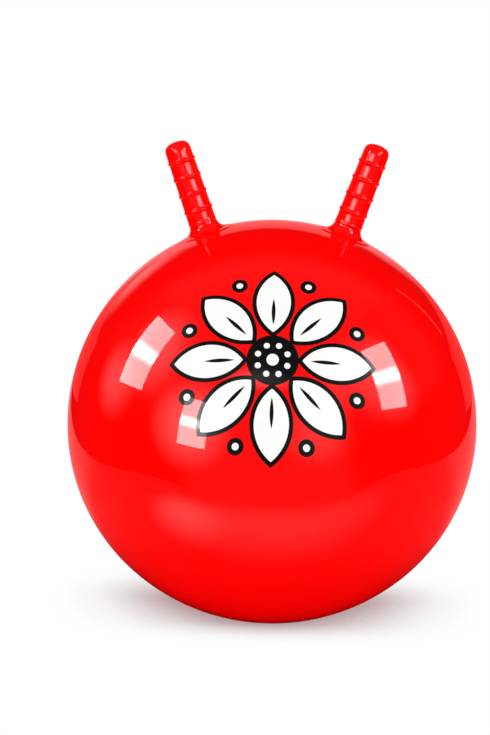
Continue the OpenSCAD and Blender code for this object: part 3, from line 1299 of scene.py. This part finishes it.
@dataclass
class Studio:
    """The floor, the lights, the surroundings and the camera."""

    form: BallForm
    handles: list[Object]
    floor_left: float = -0.78
    floor_right: float = 0.98
    floor_front: float = -0.55
    floor_back: float = 1.40
    floor_round: float = 0.30
    floor_round_steps: int = 24
    # Painted reflection: the floor's colour for glossy rays alone is red like the ball, with painted shade
    # near the ball and painted light behind it.
    painted_floor_reflection: Colour = (0.80, 0.10, 0.10)
    painted_back_reflection: Colour = (0.85, 0.21, 0.21)
    mirror_back: float = 0.05
    mirror_fade: float = 0.20
    painted_shade_near: float = 0.10
    painted_shade_far: float = 0.42
    floor_bounce: float = 0.98
    shade_lean: float = radians(80)
    shade_reach: float = 0.12
    shade_dark: float = 0.50
    shade_clear: float = 0.97
    shade_least: float = 0.25
    pool_front: float = 0.12
    pool_edge: float = 0.05
    pool_back: float = 0.10
    contact_reach: float = 0.004
    red_share: float = 0.22
    dome: float = 1.15
    dark_side: float = 0.012
    fill: float = 0.13
    upper_share: float = 0.5
    ahead_edges: tuple[float, float] = (0.30, 0.62)
    upper_edges: tuple[float, float] = (0.05, 0.30)
    side_edges: tuple[float, float] = (0.55, 0.80)
    camera_away: float = 1.5
    camera_angle: float = radians(15.5)
    camera_roll: float = radians(1.22)
    lens_mm: float = 64.49
    sensor_mm: float = 36.0
    picture_wide: int = 490
    picture_high: int = 735
    ball_middle_px: tuple[float, float] = (272.5, 422.4)
    lights: tuple[LightFace, ...] = LIGHTS

    def floor(self) -> Object:
        """Lays the white floor, a sheet with round corners that is clear from below.

        Returns:
            The floor.
        """
        clear_selection()
        bpy.ops.mesh.primitive_plane_add(size=1)
        floor = bpy.context.object
        floor.name = "floor"
        for vertex in floor.data.vertices:
            vertex.co.x = self.floor_left if vertex.co.x < 0 else self.floor_right
            vertex.co.y = self.floor_front if vertex.co.y < 0 else self.floor_back
        open_mesh()
        bpy.ops.mesh.bevel(offset=self.floor_round, segments=self.floor_round_steps, affect="VERTICES")
        bpy.ops.object.mode_set(mode="OBJECT")
        material, sheet = new_material("pale_floor")
        path = sheet.add("ShaderNodeLightPath").outputs
        # Glossy rays see the painted reflection colour; other rays see the white floor.
        colour = sheet.mix(path["Is Glossy Ray"], rgba((self.floor_bounce,) * 3), self.mirrored(sheet))
        lit = sheet.add("ShaderNodeBsdfDiffuse", {"Color": colour})
        seen = sheet.add("ShaderNodeEmission", {"Color": self.shade(sheet)})
        above = sheet.blend(path["Is Camera Ray"], lit, seen)
        below = sheet.add("ShaderNodeNewGeometry").outputs["Backfacing"]
        sheet.show(sheet.blend(below, above, sheet.add("ShaderNodeBsdfTransparent")))
        floor.data.materials.append(material)
        return floor

    def mirrored(self, sheet: NodeSheet) -> NodeSocket:
        """Paints the floor's colour for reflections alone: a painted reflection in the ball's red, with
        painted shade near the ball and painted light behind it.

        Args:
            sheet: The sheet of the floor's material.

        Returns:
            The socket of the colour.
        """
        place = sheet.place()
        reach = sheet.add("ShaderNodeVectorMath", {0: place}, operation="LENGTH").outputs["Value"]
        # Painted light: the reflection colour grows lighter behind the ball.
        behind = sheet.ramp(sheet.part(place, "Y"), self.mirror_back, self.mirror_back + self.mirror_fade)
        tint = sheet.mix(behind, rgba(self.painted_floor_reflection), rgba(self.painted_back_reflection))
        # Painted shade: the reflection colour goes black near the ball.
        return sheet.mix(sheet.ramp(reach, self.painted_shade_near, self.painted_shade_far), rgba((0, 0, 0)), tint)

    def shade(self, sheet: NodeSheet) -> NodeSocket:
        """Lays out the white floor as the camera sees it, with a pool of shade under the ball.

        A wide shade that the ball casts from the front fades out before and behind it, and a narrow
        dark one lies where the ball touches the floor.

        Args:
            sheet: The sheet of the floor's material.

        Returns:
            The socket of the colour, with the ball's red light in its shade.
        """
        lean = sheet.add("ShaderNodeCombineXYZ", {
            "Y": -sin(self.shade_lean), "Z": cos(self.shade_lean)})
        open_sky = sheet.add("ShaderNodeAmbientOcclusion", {
            "Distance": self.shade_reach, "Normal": lean.outputs[0]}).outputs["AO"]
        contact = sheet.add("ShaderNodeAmbientOcclusion", {"Distance": self.contact_reach}).outputs["AO"]
        wide = sheet.sum("MAXIMUM", sheet.ramp(open_sky, self.shade_dark, self.shade_clear),
                         self.shade_least)
        depth = sheet.part(sheet.place(), "Y")
        pool = sheet.sum("MULTIPLY", sheet.ramp(depth, -self.pool_front, -self.pool_edge),
                         sheet.ramp(depth, 0, self.pool_back, 1, 0))
        shaded = sheet.sum("MULTIPLY", sheet.sum("SUBTRACT", 1, wide), pool)
        level = sheet.sum("MULTIPLY", sheet.sum("SUBTRACT", 1, shaded), contact)
        red = sheet.sum("ADD", sheet.sum("MULTIPLY", level, 1 - self.red_share), self.red_share)
        return sheet.add("ShaderNodeCombineColor", {0: red, 1: level, 2: level}).outputs[0]

    def surroundings(self) -> None:
        """Sets the world: a white background, an even dome and a dim studio in reflections."""
        world = bpy.data.worlds.new("studio")
        bpy.context.scene.world = world
        world.use_nodes = True
        world.node_tree.nodes.clear()
        world.cycles.sampling_method = "NONE"
        sheet = NodeSheet(world.node_tree)
        direction = sheet.add("ShaderNodeTexCoord").outputs["Generated"]
        ahead = sheet.ramp(sheet.part(direction, "Y"), *self.ahead_edges, 1, 0)
        high = sheet.ramp(sheet.part(direction, "Z"), *self.upper_edges, 0, self.upper_share)
        middle = sheet.ramp(sheet.sum("ABSOLUTE", sheet.part(direction, "X")), *self.side_edges, 1, 0)
        lit = sheet.sum("MULTIPLY", ahead, sheet.sum("MAXIMUM", high, middle))
        room = sheet.sum("ADD", sheet.sum("MULTIPLY", lit, self.fill), self.dark_side)
        path = sheet.add("ShaderNodeLightPath").outputs
        plain = sheet.sum("ADD", sheet.sum("MULTIPLY", path["Is Diffuse Ray"], self.dome - 1), 1)
        keep = sheet.sum("SUBTRACT", 1, path["Is Glossy Ray"])
        mirrored = sheet.sum("MULTIPLY", room, path["Is Glossy Ray"])
        strength = sheet.sum("ADD", sheet.sum("MULTIPLY", plain, keep), mirrored)
        light = sheet.add("ShaderNodeBackground", {"Color": rgba((1, 1, 1)), "Strength": strength})
        sheet.add("ShaderNodeOutputWorld", {"Surface": light.outputs[0]})

    def camera(self) -> Object:
        """Stands the camera so that the ball's middle falls on its pixel in the picture.

        Returns:
            The camera.
        """
        focal_px = self.lens_mm / self.sensor_mm * self.picture_high
        away = Vector((0, -cos(self.camera_angle), sin(self.camera_angle)))
        ahead = -away
        right = ahead.cross(Vector((0, 0, 1))).normalized()
        up = right.cross(ahead)
        off_right = (self.ball_middle_px[0] - self.picture_wide / 2) / focal_px
        off_down = (self.ball_middle_px[1] - self.picture_high / 2) / focal_px
        ahead = (ahead - right * off_right + up * off_down).normalized()
        right = ahead.cross(up).normalized()
        up = right.cross(ahead)
        turned = (right * cos(self.camera_roll) + up * sin(self.camera_roll),
                  up * cos(self.camera_roll) - right * sin(self.camera_roll), -ahead)
        clear_selection()
        bpy.ops.object.camera_add()
        camera = bpy.context.object
        camera.data.lens = self.lens_mm
        camera.data.sensor_width = self.sensor_mm
        camera.matrix_world = Matrix.Translation(
            Vector((0, 0, self.form.middle)) + away * self.camera_away) @ Matrix(turned).transposed().to_4x4()
        bpy.context.scene.camera = camera
        return camera

    def build(self) -> None:
        """Sets up the whole studio."""
        bpy.context.scene.view_settings.view_transform = "Standard"
        self.camera()
        self.floor()
        for light in self.lights:
            light.build(self.handles)
        self.surroundings()


RED_VINYL = VinylFinish("red_vinyl", (0.97, 0.0006, 0.0004), (0.95, 0.0005, 0.0003),
                        grip_haze=0.05)
VALVE_VINYL = VinylFinish("valve_vinyl", (0.78, 0.004, 0.003), (0.70, 0.003, 0.002),
                          haze=0.4, body_gloss=0.3, clear=0.35, clear_haze=0.12, grip_haze=0.12)
STOPPER_PLASTIC = VinylFinish("stopper_plastic", (0.86, 0.86, 0.84), (0.82, 0.82, 0.79),
                              drift_size=0.01, haze=0.38, body_gloss=0.4, clear=0.2, clear_haze=0.2,
                              grip_haze=0.2)
BLACK_INK = InkFinish("black_ink", (0.0035, 0.0035, 0.0035), (0.006, 0.004, 0.004),
                      body_gloss=0.05, clear=0.3)
WHITE_INK = InkFinish("white_ink", (0.91, 0.91, 0.90), (0.90, 0.885, 0.875))


def report(piece: Object) -> None:
    """Logs a finished piece with its size in faces."""
    log.info("%s: %d faces", piece.name, len(piece.data.polygons))


def main() -> None:
    """Builds the part's pieces in order, then the studio around them."""
    logging.basicConfig(level=logging.INFO, format="%(name)s: %(message)s")
    vinyl = moulded_group()
    print_mark = printed_group()
    form = BallForm()
    red = RED_VINYL.material(vinyl, form)
    valve = AirValve(form)
    report(BallSkin(form).build(valve, red))
    horns = [Horn(form, side).build(red) for side in Side]
    for horn in horns:
        report(horn)
    report(valve.build_seat(VALVE_VINYL.material(vinyl, form)))
    report(valve.build_stopper(STOPPER_PLASTIC.material(vinyl, form)))
    for layer in FlowerPrint(form).build(BLACK_INK.material(print_mark), WHITE_INK.material(print_mark)):
        report(layer)
    Studio(form, horns).build()


if __name__ == "__main__":
    main()
